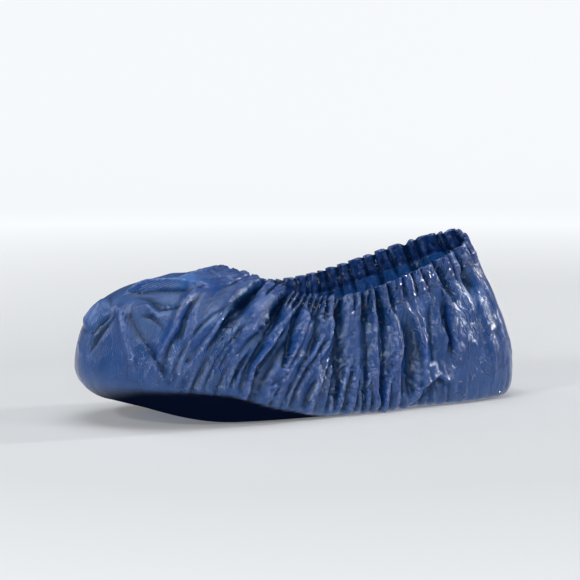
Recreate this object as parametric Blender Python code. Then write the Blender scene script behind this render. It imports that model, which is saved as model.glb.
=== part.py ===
"""Disposable film shoe cover, in the shape it takes over a shoe.

The toe points along -Y, +X is the wearer's left side and +Z is up. The origin is on the
underside of the sole, half way along its flat part. Every sheet of film is modelled as its
middle surface, and a Solidify modifier gives it its wall.
"""
import math

import bpy
from mathutils import Vector

MM = 0.001

# Walls and gaps, in millimetres
FILM_WALL = 1.2
CASING_WALL = 1.0
BAND_WALL = 0.8
PLAY = 0.4

# Hem, in millimetres below the edge of the mouth
SEAL_DEPTH = 16.0
FILM_EDGE_DEPTH = 11.0
FOLD_ROUNDING = 1.6
BAND_TOP_DEPTH = 4.0
BAND_BOTTOM_DEPTH = 8.5

# The casing's two legs stand this far from the film's middle surface, in millimetres
LEG_OFFSET = FILM_WALL / 2 + PLAY + CASING_WALL / 2

# Mesh density
COLUMNS = 132
TURN_LEVELS = 3
WALL_LEVELS = 8
GATHERS = 27

# Toe spring: the sole starts to rise ahead of this Y, and its rise at the toe, in millimetres
SPRING_START_Y = -70.0
SPRING_END_Y = -130.0
SPRING_RISE = 13.0

# How far up the skin the sole's turn ends and the wall begins, as a share of its rise
TURN_END = 0.24

# Sections round the foot. around runs from the toe over the +X side to the heel and back.
# edge is the widest point, turn_in the radius of the turn under the sole, shoulder_in the
# shoulder's share of the way from the edge to the mouth, mouth the top of the hem. Millimetres.
SECTION_COLUMNS = (
    "around", "edge_x", "edge_y", "edge_z", "turn_in", "shoulder_in", "shoulder_z",
    "mouth_x", "mouth_y", "mouth_z",
)
SECTIONS = (
    (0.000, 0, -160, 36, 30, 0.22, 80, 0, -54, 93),
    (0.060, 36, -147, 33, 28, 0.24, 78, 17, -50, 91),
    (0.120, 57, -113, 27, 24, 0.29, 71, 33, -38, 85),
    (0.190, 64, -62, 19, 18, 0.38, 62, 43, -16, 78),
    (0.270, 59, 2, 14, 13, 0.42, 54, 46, 18, 79),
    (0.360, 51, 70, 13, 11, 0.42, 56, 44, 60, 91),
    (0.420, 47, 115, 16, 11, 0.40, 62, 37, 92, 101),
    (0.460, 34, 147, 21, 12, 0.36, 68, 23, 114, 108),
    (0.500, 0, 160, 24, 12, 0.35, 72, 0, 122, 113),
    (0.540, -34, 147, 21, 12, 0.36, 68, -23, 114, 108),
    (0.580, -46, 115, 16, 11, 0.40, 62, -37, 92, 100),
    (0.640, -47, 70, 13, 11, 0.42, 56, -44, 60, 90),
    (0.730, -51, 5, 14, 13, 0.42, 54, -46, 18, 81),
    (0.810, -59, -60, 19, 18, 0.38, 62, -43, -16, 82),
    (0.880, -56, -110, 27, 24, 0.29, 71, -33, -38, 87),
    (0.940, -36, -145, 33, 28, 0.24, 78, -17, -50, 92),
)

# Main folds. Each runs from a low point over a middle one to a high one, in shares round the
# foot and up the skin. half_width is a share round the foot, and height is in millimetres,
# above the skin for a ridge and below it for a valley.
FOLD_COLUMNS = ("low_around", "low_rise", "mid_around", "high_around", "high_rise", "half_width", "height")
FOLDS = (
    # Toe
    (-0.004, 0.26, 0.003, 0.000, 0.50, 0.016, -5.5),
    (0.068, 0.24, 0.052, 0.042, 0.50, 0.020, -4.5),
    (0.104, 0.24, 0.078, 0.048, 0.52, 0.016, 4.0),
    (0.010, 0.52, 0.040, 0.082, 0.78, 0.022, 4.5),
    (0.102, 0.38, 0.090, 0.056, 0.92, 0.016, 4.5),
    # Ball of the foot
    (0.111, 0.22, 0.128, 0.130, 0.80, 0.016, -4.5),
    (0.138, 0.22, 0.156, 0.118, 0.99, 0.019, 6.5),
    (0.124, 0.58, 0.138, 0.104, 1.00, 0.016, -5.5),
    (0.182, 0.20, 0.184, 0.166, 0.96, 0.016, -4.5),
    (0.205, 0.22, 0.206, 0.196, 0.96, 0.016, 4.5),
    # Waist
    (0.232, 0.14, 0.228, 0.222, 0.98, 0.016, 4.5),
    (0.268, 0.10, 0.261, 0.243, 0.98, 0.016, -5.5),
    (0.290, 0.12, 0.286, 0.274, 0.96, 0.016, 4.5),
    (0.297, 0.46, 0.296, 0.292, 1.00, 0.016, -4.5),
    (0.336, 0.08, 0.343, 0.343, 0.92, 0.024, -6.0),
    # Heel
    (0.388, 0.20, 0.398, 0.392, 0.98, 0.016, 5.5),
    (0.378, 0.16, 0.380, 0.378, 0.92, 0.016, -4.0),
    (0.421, 0.26, 0.427, 0.430, 0.98, 0.016, -5.5),
    (0.438, 0.20, 0.442, 0.440, 0.92, 0.016, 5.5),
    (0.476, 0.22, 0.474, 0.470, 0.94, 0.016, -4.5),
    (0.500, 0.20, 0.502, 0.506, 0.96, 0.016, 4.5),
    (0.532, 0.20, 0.530, 0.534, 0.94, 0.016, -5.5),
    # Far side, from the heel back to the toe
    (0.562, 0.18, 0.558, 0.560, 0.96, 0.016, 5.5),
    (0.592, 0.16, 0.590, 0.588, 0.94, 0.016, -5.5),
    (0.624, 0.14, 0.628, 0.630, 0.96, 0.020, 5.5),
    (0.662, 0.10, 0.660, 0.664, 0.96, 0.022, -6.0),
    (0.702, 0.10, 0.706, 0.708, 0.98, 0.016, 5.5),
    (0.736, 0.12, 0.742, 0.752, 0.98, 0.016, -5.5),
    (0.772, 0.14, 0.776, 0.782, 0.98, 0.016, 4.5),
    (0.806, 0.20, 0.812, 0.826, 0.98, 0.016, -5.5),
    (0.850, 0.22, 0.846, 0.868, 0.98, 0.016, 5.5),
    (0.884, 0.24, 0.872, 0.890, 0.94, 0.016, -5.5),
    (0.916, 0.28, 0.918, 0.930, 0.90, 0.018, 4.5),
    (0.946, 0.26, 0.950, 0.962, 0.86, 0.018, -4.5),
    (0.976, 0.50, 0.970, 0.984, 0.92, 0.016, 4.0),
)

# How a fold's height runs out at its ends, in shares of its run: from nothing to full, then back
FOLD_RISE_FROM = -0.2
FOLD_RISE_TO = 0.25
FOLD_FALL_FROM = 0.8
FOLD_FALL_TO = 1.2

# The wall leaves the edge upwards, this much steeper than it is long
UPRIGHT = 1.1

# Gathers drawn in by the elastic: their height in millimetres from the skin, and the waves round
# the foot that make them uneven, as turns, start and size, with their effect on the height
GATHER_HEIGHT = 1.9
UNEVEN_WAVES = ((5, 0.1, 0.6), (7, 0.0, 0.4))
GATHER_EVEN = 0.95
GATHER_UNEVEN = 0.15

# The ring inside the sole's border: its width and the share of the length it keeps, and how much
# shorter it is overall
INNER_WIDTH = 0.45
INNER_LENGTH = 0.55
INNER_SHORTER = 0.94

# Where on the turn the folds begin, as a rise
CALM_RISE = 0.04

# Half the stretch of skin over which slopes are taken, in shares of the rise or of the way round
SLOPE_STEP = 0.004
EDGE_STEP = 0.002
FOLDED_STEP = 0.01

# Below the hem's seal, in shares of the rise: the gathers die out over the first span, and
# the main folds reach their full height from the stop to the start
GATHER_FADE_SPAN = 0.28
FOLD_FADE_START = 0.26
FOLD_FADE_STOP = 0.04


def table_value(column, around):
    """One column of SECTIONS at a place round the foot, smooth through every row."""
    index = SECTION_COLUMNS.index(column)
    around = around % 1.0
    count = len(SECTIONS)
    start = max(row for row in range(count) if SECTIONS[row][0] <= around)

    def place(row):
        return SECTIONS[row % count][0] + row // count

    def value(row):
        return SECTIONS[row % count][index]

    def slope(row):
        return (value(row + 1) - value(row - 1)) / (place(row + 1) - place(row - 1))

    span = place(start + 1) - place(start)
    share = (around - place(start)) / span
    square = share * share
    cube = square * share
    return (
        (2 * cube - 3 * square + 1) * value(start)
        + (cube - 2 * square + share) * span * slope(start)
        + (3 * square - 2 * cube) * value(start + 1)
        + (cube - square) * span * slope(start + 1)
    )


def table_point(name, around):
    """The edge or mouth point, in millimetres."""
    return Vector([table_value(f"{name}_{axis}", around) for axis in "xyz"])


def sole_height(y):
    """Height of the sole's middle surface, flat up to the toe spring."""
    ahead = max(0.0, (SPRING_START_Y - y) / (SPRING_START_Y - SPRING_END_Y))
    return FILM_WALL / 2 + SPRING_RISE * ahead * ahead


def hermite(start, start_slope, end, end_slope, share):
    """A cubic from one point to the next with given slopes."""
    square = share * share
    cube = square * share
    return (
        start * (2 * cube - 3 * square + 1)
        + start_slope * (cube - 2 * square + share)
        + end * (3 * square - 2 * cube)
        + end_slope * (cube - square)
    )


def outward(around):
    """Level direction away from the foot at the edge."""
    along = table_point("edge", around + EDGE_STEP) - table_point("edge", around - EDGE_STEP)
    return Vector((along.y, -along.x, 0.0)).normalized()


def sole_point(around):
    """Where the flat of the sole ends and the turn begins."""
    point = table_point("edge", around) - outward(around) * table_value("turn_in", around)
    point.z = sole_height(point.y)
    return point


def shoulder_point(around):
    """The shoulder between the steep lower wall and the slope to the mouth."""
    edge = table_point("edge", around)
    mouth = table_point("mouth", around)
    point = edge.lerp(mouth, table_value("shoulder_in", around))
    point.z = table_value("shoulder_z", around)
    return point


def wall_length(around):
    """Length of the wall from the edge over the shoulder to the mouth."""
    shoulder = shoulder_point(around)
    lower = (shoulder - table_point("edge", around)).length
    upper = (table_point("mouth", around) - shoulder).length
    return lower, upper


def smooth_skin(around, rise):
    """The skin without folds: rise 0 is the sole's border, TURN_END the edge, 1 the mouth."""
    edge = table_point("edge", around)
    if rise <= TURN_END:
        angle = 0.5 * math.pi * rise / TURN_END
        low = sole_point(around)
        across = outward(around) * table_value("turn_in", around) * math.sin(angle)
        point = low + across
        point.z = low.z + (edge.z - low.z) * (1.0 - math.cos(angle))
        return point
    mouth = table_point("mouth", around)
    shoulder = shoulder_point(around)
    lower, upper = wall_length(around)
    lower_share = lower / (lower + upper)
    share = (rise - TURN_END) / (1.0 - TURN_END)
    leaning = (mouth - edge).normalized()
    if share < lower_share:
        upright = Vector((0.0, 0.0, UPRIGHT * lower))
        return hermite(edge, upright, shoulder, leaning * lower, share / lower_share)
    share = (share - lower_share) / (1.0 - lower_share)
    return hermite(shoulder, leaning * upper, mouth, mouth - shoulder, share)


def rise_below_mouth(around, depth):
    """The rise of a point that lies depth millimetres down the wall from the mouth."""
    return 1.0 - (1.0 - TURN_END) * depth / sum(wall_length(around))


def fade(value, start, end):
    """0 before start, 1 after end, smooth between."""
    share = min(1.0, max(0.0, (value - start) / (end - start)))
    return share * share * (3.0 - 2.0 * share)


def fold_height(around, rise):
    """Sum of the main folds at a place on the skin, in millimetres."""
    total = 0.0
    for row in FOLDS:
        fold = dict(zip(FOLD_COLUMNS, row))
        low = fold["low_rise"]
        high = fold["high_rise"]
        along = (rise - low) / (high - low)
        if not FOLD_RISE_FROM < along < FOLD_FALL_TO:
            continue
        bend = fold["mid_around"] - 0.5 * (fold["low_around"] + fold["high_around"])
        inside = min(1.0, max(0.0, along))
        centre = fold["low_around"] + (fold["high_around"] - fold["low_around"]) * inside
        centre += 4.0 * bend * inside * (1.0 - inside)
        aside = (around - centre + 0.5) % 1.0 - 0.5
        off = abs(aside) / fold["half_width"]
        if off >= 1.0:
            continue
        started = fade(along, FOLD_RISE_FROM, FOLD_RISE_TO)
        ends = started * (1.0 - fade(along, FOLD_FALL_FROM, FOLD_FALL_TO))
        total += fold["height"] * ends * math.cos(0.5 * math.pi * off) ** 2
    return total


def gather_height(around, rise):
    """Small gathers that the elastic draws into the film, in full from the seal to the mouth."""
    uneven = sum(
        size * math.sin(2 * math.pi * (turns * around + start)) for turns, start, size in UNEVEN_WAVES
    )
    wave = math.sin(2 * math.pi * GATHERS * around + uneven)
    strength = GATHER_EVEN + GATHER_UNEVEN * uneven
    seal = rise_below_mouth(around, SEAL_DEPTH)
    return GATHER_HEIGHT * strength * wave * fade(rise, seal - GATHER_FADE_SPAN, seal)


def skin_normal(around, rise):
    """Outward direction of the smooth skin."""
    below = max(0.0, rise - SLOPE_STEP)
    above = min(1.0, rise + SLOPE_STEP)
    along = smooth_skin(around + SLOPE_STEP, rise) - smooth_skin(around - SLOPE_STEP, rise)
    up = smooth_skin(around, above) - smooth_skin(around, below)
    return along.cross(up).normalized()


def skin(around, rise):
    """The middle surface of the film with its folds and gathers, in millimetres."""
    seal = rise_below_mouth(around, SEAL_DEPTH)
    calm = fade(rise, CALM_RISE, TURN_END) * (1.0 - fade(rise, seal - FOLD_FADE_START, seal - FOLD_FADE_STOP))
    height = fold_height(around, rise) * calm + gather_height(around, rise)
    return smooth_skin(around, rise) + skin_normal(around, rise) * height


def skin_offset(around, rise, distance):
    """A point off the folded skin, along the folded skin's own normal."""
    step = 1.0 / COLUMNS
    along = skin(around + step, rise) - skin(around - step, rise)
    above = min(1.0, rise + FOLDED_STEP)
    up = smooth_skin(around, above) - smooth_skin(around, rise - FOLDED_STEP)
    return skin(around, rise) + along.cross(up).normalized() * distance


def new_sheet(name, rings, extra_faces, wall):
    """A closed solid from rings of middle-surface points, thickened by a Solidify modifier."""
    points = [point * MM for ring in rings for point in ring]
    count = len(rings[0])
    faces = []
    for level in range(len(rings) - 1):
        for column in range(count):
            beside = (column + 1) % count
            low = level * count
            high = low + count
            faces.append((low + column, low + beside, high + beside, high + column))
    mesh = bpy.data.meshes.new(name)
    mesh.from_pydata(points, [], faces + extra_faces)
    mesh.validate()
    mesh.shade_smooth()
    item = bpy.data.objects.new(name, mesh)
    bpy.context.scene.collection.objects.link(item)
    solidify = item.modifiers.new("wall", "SOLIDIFY")
    solidify.thickness = wall * MM
    solidify.offset = 0.0
    return item


def columns():
    """Places round the foot, one for each column of the mesh."""
    return [column / COLUMNS for column in range(COLUMNS)]


def film_body():
    """The bag: a strip across the sole, one ring inside it, the turn, the wall up to the hem."""
    inner_ring = []
    for around in columns():
        border = sole_point(around)
        middle_y = 0.5 * (border.y + sole_point(-around).y)
        length = INNER_LENGTH * border.y + (1.0 - INNER_LENGTH) * middle_y
        point = Vector((INNER_WIDTH * border.x, INNER_SHORTER * length, 0.0))
        point.z = sole_height(point.y)
        inner_ring.append(point)
    rings = [inner_ring]
    for level in range(TURN_LEVELS):
        rise = TURN_END * level / TURN_LEVELS
        rings.append([skin(around, rise) for around in columns()])
    for level in range(WALL_LEVELS + 1):
        ring = []
        for around in columns():
            seal = rise_below_mouth(around, SEAL_DEPTH)
            rise = TURN_END + (seal - TURN_END) * level / WALL_LEVELS
            ring.append(skin(around, rise))
        rings.append(ring)
    rings.append([skin(around, rise_below_mouth(around, FILM_EDGE_DEPTH)) for around in columns()])
    half = COLUMNS // 2
    strip = [(0, COLUMNS - 1, 1), (half - 1, half + 1, half)]
    for column in range(1, half - 1):
        strip.append((column, COLUMNS - column, COLUMNS - column - 1, column + 1))
    return new_sheet("film_body", rings, strip, FILM_WALL)


def hem_casing():
    """The folded hem: an upside-down U over the film's top edge."""
    profile = (
        (SEAL_DEPTH, 1.0),
        (FOLD_ROUNDING, 1.0),
        (CASING_WALL / 2, 0.0),
        (FOLD_ROUNDING, -1.0),
        (SEAL_DEPTH, -1.0),
    )
    rings = []
    for depth, side in profile:
        ring = []
        for around in columns():
            rise = rise_below_mouth(around, depth)
            ring.append(skin_offset(around, rise, side * LEG_OFFSET))
        rings.append(ring)
    return new_sheet("hem_casing", rings, [], CASING_WALL)


def elastic_band():
    """The flat elastic in the fold of the hem."""
    rings = []
    for depth in (BAND_BOTTOM_DEPTH, BAND_TOP_DEPTH):
        rings.append([skin(around, rise_below_mouth(around, depth)) for around in columns()])
    return new_sheet("elastic_band", rings, [], BAND_WALL)


def plain_material(name, colour, roughness):
    """A Principled material in one colour."""
    material = bpy.data.materials.new(name)
    material.use_nodes = True
    shader = material.node_tree.nodes["Principled BSDF"]
    shader.inputs["Base Color"].default_value = (*colour, 1.0)
    shader.inputs["Roughness"].default_value = roughness
    shader.inputs["Metallic"].default_value = 0.0
    return material


def main():
    for item in list(bpy.data.objects):
        bpy.data.objects.remove(item, do_unlink=True)
    film_body().data.materials.append(plain_material("film_blue", (0.035, 0.075, 0.26), 0.38))
    hem_casing().data.materials.append(plain_material("hem_blue", (0.045, 0.075, 0.27), 0.42))
    elastic_band().data.materials.append(plain_material("elastic_white", (0.72, 0.74, 0.78), 0.7))


main()
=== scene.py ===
"""Looks of the film shoe cover: embossed blue film, gathered hem, elastic, stage, light and camera.

The film's shape starts from the same sections as the solids, in millimetres. Lines of folds and
gathers stand out of that smooth skin, and the film is drawn tight between them.
"""
import math

import bpy
import numpy as np
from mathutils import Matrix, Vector


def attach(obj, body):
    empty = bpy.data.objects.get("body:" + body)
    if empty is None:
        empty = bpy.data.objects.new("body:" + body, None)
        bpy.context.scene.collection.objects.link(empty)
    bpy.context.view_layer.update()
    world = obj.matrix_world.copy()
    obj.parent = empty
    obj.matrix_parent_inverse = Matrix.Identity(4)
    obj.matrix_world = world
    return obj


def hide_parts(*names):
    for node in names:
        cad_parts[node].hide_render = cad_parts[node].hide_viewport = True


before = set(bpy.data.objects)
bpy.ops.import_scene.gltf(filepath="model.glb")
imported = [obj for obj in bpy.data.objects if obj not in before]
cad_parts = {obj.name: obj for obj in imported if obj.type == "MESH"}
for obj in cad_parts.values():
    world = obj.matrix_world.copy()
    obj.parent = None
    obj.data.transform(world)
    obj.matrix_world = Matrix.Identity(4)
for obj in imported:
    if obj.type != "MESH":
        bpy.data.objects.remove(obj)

MM = 0.001
TAU = 2.0 * math.pi

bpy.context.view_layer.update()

# Film cover as it is cut, flat: the bag is folded at the sole, so its film is twice as wide
CUT_LENGTH = 0.41
CUT_WIDTH = 0.32

# Hem, in millimetres below the edge of the mouth
SEAL_DEPTH = 16.0
BAND_TOP_DEPTH = 4.0
BAND_BOTTOM_DEPTH = 8.5

# Toe spring, and how high the sole lies over the floor
SPRING_START_Y = -70.0
SPRING_END_Y = -130.0
SPRING_RISE = 13.0
SOLE_LIFT = 0.35

# A rise is a height along the skin: 0 at the sole's border, TURN_END at the edge, 1 at the mouth.
# A place round the cover is 0 at the tip of the toe and 0.5 at the heel, with the near side between.
TURN_END = 0.24

# The turn under the edge is a straight slope at the toe and a round, full corner at the heel:
# the power of a superellipse, at places round the cover.
TURN_PLACES = (0.00, 0.06, 0.16, 0.28, 0.72, 0.84, 0.94, 1.00)
TURN_POWERS = (2.10, 1.80, 1.45, 3.20, 3.20, 1.45, 1.80, 2.10)

# How strongly the wall starts upright over the edge
UPRIGHT_PULL = 1.1

SECTION_COLUMNS = (
    "around", "edge_x", "edge_y", "edge_z", "turn_in", "shoulder_in", "shoulder_z",
    "mouth_x", "mouth_y", "mouth_z",
)
SECTIONS = (
    (0.000, 0, -160, 36, 30, 0.22, 80, 0, -54, 93),
    (0.060, 36, -147, 33, 28, 0.24, 78, 17, -50, 91),
    (0.120, 57, -113, 27, 24, 0.29, 71, 33, -38, 85),
    (0.190, 64, -62, 19, 18, 0.38, 62, 43, -16, 78),
    (0.270, 59, 2, 14, 13, 0.42, 54, 46, 18, 79),
    (0.360, 51, 70, 13, 11, 0.42, 56, 44, 60, 91),
    (0.420, 47, 115, 16, 11, 0.40, 62, 37, 92, 101),
    (0.460, 34, 147, 21, 12, 0.36, 68, 23, 114, 108),
    (0.500, 0, 160, 24, 12, 0.35, 72, 0, 122, 113),
    (0.540, -34, 147, 21, 12, 0.36, 68, -23, 114, 108),
    (0.580, -46, 115, 16, 11, 0.40, 62, -37, 92, 100),
    (0.640, -47, 70, 13, 11, 0.42, 56, -44, 60, 90),
    (0.730, -51, 5, 14, 13, 0.42, 54, -46, 18, 81),
    (0.810, -59, -60, 19, 18, 0.38, 62, -43, -16, 82),
    (0.880, -56, -110, 27, 24, 0.29, 71, -33, -38, 87),
    (0.940, -36, -145, 33, 28, 0.24, 78, -17, -50, 92),
)

# The line where the wall ends and the calm turn under the sole begins, below which the film gets a
# painted shade: places round the near side, which the far side mirrors, the line's rise and how softly
# the painted shade sets in.
TURN_LINE_PLACES = (0.00, 0.04, 0.08, 0.12, 0.16, 0.18, 0.22, 0.25, 0.30, 0.50)
TURN_LINE_RISES = (0.090, 0.140, 0.180, 0.205, 0.215, 0.200, 0.150, 0.080, 0.020, 0.015)
PAINTED_SHADE_SOFTNESS = (0.090, 0.060, 0.025, 0.012, 0.008, 0.008, 0.008, 0.008, 0.008, 0.008)

# How crumpled the film is, round the whole cover
CRUMPLE_PLACES = (0.00, 0.08, 0.16, 0.24, 0.50, 0.76, 0.88, 0.96, 1.00)
CRUMPLE_SHARES = (0.30, 0.40, 0.75, 1.00, 1.00, 1.00, 0.85, 0.60, 0.30)

# Lines of the main folds on the near side: how far each stands out of the skin (below 0, into it)
# and half its width, both in millimetres, and the places and rises it runs through, in thousandths.
# These points were picked in the photo and carried onto the skin through the camera below.
FOLDS = (
    # Toe
    (-4.5, 5.0, ((32, 430), (22, 370), (15, 320), (18, 290))),
    (-4.0, 5.0, ((26, 450), (15, 400), (7, 350))),
    (1.5, 2.5, ((-11, 330), (10, 275))),
    (3.5, 9.0, ((-11, 370), (-5, 440), (7, 500))),
    (4.5, 5.0, ((25, 490), (42, 450), (67, 330), (75, 250))),
    (-1.2, 5.0, ((49, 460), (78, 380), (92, 320), (104, 240))),
    (1.5, 2.5, ((88, 320), (96, 280), (104, 230))),
    (-2.0, 4.0, ((23, 560), (50, 570), (72, 540), (87, 570))),
    (1.5, 6.0, ((45, 490), (59, 520), (81, 490))),
    (-1.5, 4.0, ((60, 470), (70, 490), (88, 450))),
    (2.5, 4.0, ((77, 710), (93, 570), (96, 520), (97, 430), (94, 360), (91, 310))),
    (-2.0, 4.0, ((90, 700), (96, 600), (102, 510), (106, 430))),
    (3.5, 7.0, ((58, 860), (88, 670), (98, 580), (103, 500), (104, 440))),
    (2.0, 3.0, ((127, 750), (133, 600), (132, 490), (124, 360), (112, 250))),
    (-2.0, 4.0, ((135, 680), (137, 540), (133, 420))),
    (1.2, 3.0, ((109, 550), (115, 440), (119, 350))),
    (3.0, 6.0, ((9, 560), (18, 650), (44, 730), (79, 750))),
    (-2.0, 4.0, ((15, 560), (43, 660), (87, 740))),
    (3.0, 7.0, ((24, 770), (7, 900), (7, 1000))),
    # Ball of the foot
    (-5.0, 7.0, ((119, 930), (132, 770), (137, 630), (137, 540))),
    (5.0, 7.0, ((119, 990), (139, 860), (149, 750), (158, 620), (157, 530), (153, 410), (150, 350),
                 (143, 280))),
    (-3.0, 4.0, ((149, 720), (154, 530), (150, 400), (147, 330))),
    (-2.5, 5.0, ((162, 900), (182, 690), (179, 520), (174, 410), (166, 310))),
    (3.0, 5.0, ((174, 970), (190, 810), (192, 680))),
    (3.0, 4.0, ((192, 680), (188, 560), (183, 470), (178, 400), (176, 330), (174, 250), (170, 200))),
    (-2.5, 4.0, ((198, 690), (193, 570), (189, 470), (183, 390), (180, 300), (177, 230))),
    # Waist
    (3.0, 4.0, ((194, 1000), (205, 870), (213, 750), (213, 590), (210, 470), (205, 340), (198, 260),
                 (190, 190))),
    (-3.5, 4.0, ((177, 980), (197, 820), (203, 670), (208, 500), (206, 420))),
    (2.5, 4.0, ((235, 870), (244, 740), (244, 620), (233, 480), (231, 420))),
    (1.8, 3.0, ((229, 540), (237, 440), (240, 320), (240, 170))),
    (-2.5, 4.0, ((209, 970), (227, 780), (230, 640), (226, 540))),
    (-5.0, 4.0, ((239, 970), (245, 860), (250, 740), (258, 580), (261, 430), (260, 270), (255, 160))),
    (1.8, 7.0, ((259, 990), (270, 710), (275, 420), (274, 190))),
    (-3.5, 3.5, ((279, 990), (282, 850), (288, 630), (289, 340), (287, 120))),
    (3.0, 3.5, ((290, 920), (297, 780), (298, 560), (300, 420), (298, 250), (307, 120))),
    (-4.5, 4.0, ((300, 1000), (305, 840), (310, 740), (310, 550), (308, 360), (305, 160))),
    (3.5, 3.5, ((315, 880), (321, 750), (323, 670), (323, 540), (321, 400), (312, 310), (308, 200),
                 (315, 30))),
    (2.0, 3.0, ((330, 750), (333, 610), (333, 540), (325, 410), (325, 250), (321, 100))),
    (-5.0, 8.0, ((335, 790), (343, 640), (343, 460), (339, 320), (332, 180))),
    (3.5, 4.0, ((339, 800), (350, 720), (355, 600), (357, 500), (355, 410), (354, 310), (354, 250))),
    (2.0, 2.5, ((331, 60), (339, 180), (351, 250), (370, 320), (380, 270), (390, 320))),
    (-1.6, 4.0, ((339, 30), (353, 210), (371, 280), (381, 240))),
    (1.5, 2.5, ((333, 360), (350, 260))),
    # Heel
    (-5.0, 4.0, ((394, 920), (395, 860), (396, 770))),
    (3.5, 4.0, ((388, 930), (395, 840), (398, 760), (397, 650), (395, 550), (393, 440), (390, 380))),
    (-3.5, 4.0, ((393, 760), (390, 660), (389, 550), (387, 430))),
    (2.0, 3.0, ((384, 740), (380, 630), (385, 530), (381, 450))),
    (-1.6, 5.0, ((376, 790), (369, 610), (366, 410))),
    (-4.0, 4.0, ((432, 920), (430, 830), (433, 740))),
    (2.5, 3.5, ((435, 740), (434, 660), (434, 550), (432, 440), (434, 380), (432, 310), (435, 230))),
    (2.5, 4.0, ((451, 820), (449, 680), (448, 530), (448, 420), (450, 330))),
)

# Lines wider than ROUND_FROM millimetres are soft rounds on the skin, ROUND_WIDTH times as wide.
# LINE_REACH is how far round the cover a line acts, and LINE_ENDS how its height comes and goes.
ROUND_FROM = 6.0
ROUND_WIDTH = 1.6
LINE_REACH = 0.09
LINE_ENDS = (-0.05, 0.25)

# The far side, which can't be seen, gets the same lines mirrored and shifted a little, but for
# those that start before MIRROR_FROM, at the tip of the toe.
MIRROR_SEED = 5
MIRROR_SHIFT = 0.012
MIRROR_FROM = 0.030

# Fine folds that rise from the sole: their heights in millimetres, steps round the cover, where
# they start over the turn line and how far they rise, and how the folds lean round the near side.
FAN_SEED = 21
FAN_FROM = 0.09
FAN_TO = 0.95
FAN_HEIGHTS = (0.9, 2.4)
FAN_STEPS = (0.0035, 0.0080)
FAN_STARTS = (-0.03, 0.06)
FAN_RISES = (0.20, 0.60)
FAN_TOP = 0.96
FAN_POINTS = 4
FAN_BEND = 0.0016
FAN_PLACES = (0.09, 0.14, 0.27, 0.33, 0.40, 0.50)
FAN_SHARES = (0.70, 1.20, 1.20, 0.45, 0.12, 0.05)
LEAN_PLACES = (0.00, 0.05, 0.12, 0.22, 0.26, 0.30, 0.50)
LEANS = (0.0, 0.0, 0.060, 0.058, 0.020, 0.0, 0.0)

# Small creases strewn over the wall: their number, heights in millimetres, starts, rises and slant
STREWN_SEED = 8
STREWN_COUNT = 520
STREWN_HEIGHTS = (-1.1, 1.1)
STREWN_STARTS = (0.02, 0.90)
STREWN_RISES = (0.04, 0.16)
STREWN_SLANT = 0.016

# Fine creases of the hem: heights in millimetres, steps round the mouth, slant, where each starts
# as a share of the hem's depth and how far it may end off the mouth's edge, as a rise.
HEM_SEED = 17
HEM_HEIGHTS = (0.3, 1.2)
HEM_STEPS = (0.004, 0.010)
HEM_SLANT = 0.003
HEM_FEET = (0.3, 1.2)
HEM_PAST = 0.03


# The smooth skin

def hermite(start, start_slope, end, end_slope, share):
    """A cubic from one value or point to the next with given slopes."""
    square = share * share
    cube = square * share
    return (
        start * (2 * cube - 3 * square + 1)
        + start_slope * (cube - 2 * square + share)
        + end * (3 * square - 2 * cube)
        + end_slope * (cube - square)
    )


def fade(value, start, end):
    """0 before start, 1 after end, smooth between."""
    share = np.clip((value - start) / (end - start), 0.0, 1.0)
    return share * share * (3.0 - 2.0 * share)


def near_side(around):
    """The place on the near side that mirrors this one."""
    return np.minimum(around, 1.0 - around)


def turn_line(around):
    """The rise at which the calm turn under the sole ends."""
    return np.interp(near_side(around), TURN_LINE_PLACES, TURN_LINE_RISES)


def crumpled(around):
    """How crumpled the film is at a place."""
    return np.interp(around, CRUMPLE_PLACES, CRUMPLE_SHARES)


def aside(around, place):
    """How far round the cover lies from a place, the short way."""
    return np.mod(around - place + 0.5, 1.0) - 0.5


def table_value(name, around):
    """One column of SECTIONS round the foot, smooth through every row."""
    index = SECTION_COLUMNS.index(name)
    places = np.array([row[0] for row in SECTIONS])
    values = np.array([row[index] for row in SECTIONS], float)
    places = np.concatenate([places[-2:] - 1.0, places, places[:2] + 1.0])
    values = np.concatenate([values[-2:], values, values[:2]])
    slopes = np.zeros(len(places))
    slopes[1:-1] = (values[2:] - values[:-2]) / (places[2:] - places[:-2])
    around = np.mod(around, 1.0)
    start = np.clip(np.searchsorted(places, around, side="right") - 1, 1, len(places) - 3)
    end = start + 1
    span = places[end] - places[start]
    share = (around - places[start]) / span
    return hermite(values[start], span * slopes[start], values[end], span * slopes[end], share)


def table_point(name, around):
    """The edge or mouth points."""
    return np.stack([table_value(f"{name}_{axis}", around) for axis in "xyz"], -1)


def length(vectors):
    """Lengths, kept as a last axis of one."""
    return np.linalg.norm(vectors, axis=-1, keepdims=True)


def sole_height(y):
    """Height of the sole, flat up to the toe spring."""
    ahead = np.maximum(0.0, (SPRING_START_Y - y) / (SPRING_START_Y - SPRING_END_Y))
    return SOLE_LIFT + SPRING_RISE * ahead * ahead


def outward(around):
    """Level direction away from the foot at the edge."""
    step = 0.002
    along = table_point("edge", around + step) - table_point("edge", around - step)
    away = np.stack([along[..., 1], -along[..., 0], np.zeros(along.shape[:-1])], -1)
    return away / length(away)


def sole_point(around):
    """Where the flat of the sole ends and the turn begins."""
    point = table_point("edge", around) - outward(around) * table_value("turn_in", around)[..., None]
    point[..., 2] = sole_height(point[..., 1])
    return point


def shoulder_point(around):
    """The shoulder between the steep lower wall and the slope to the mouth."""
    edge = table_point("edge", around)
    point = edge + (table_point("mouth", around) - edge) * table_value("shoulder_in", around)[..., None]
    point[..., 2] = table_value("shoulder_z", around)
    return point


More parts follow.
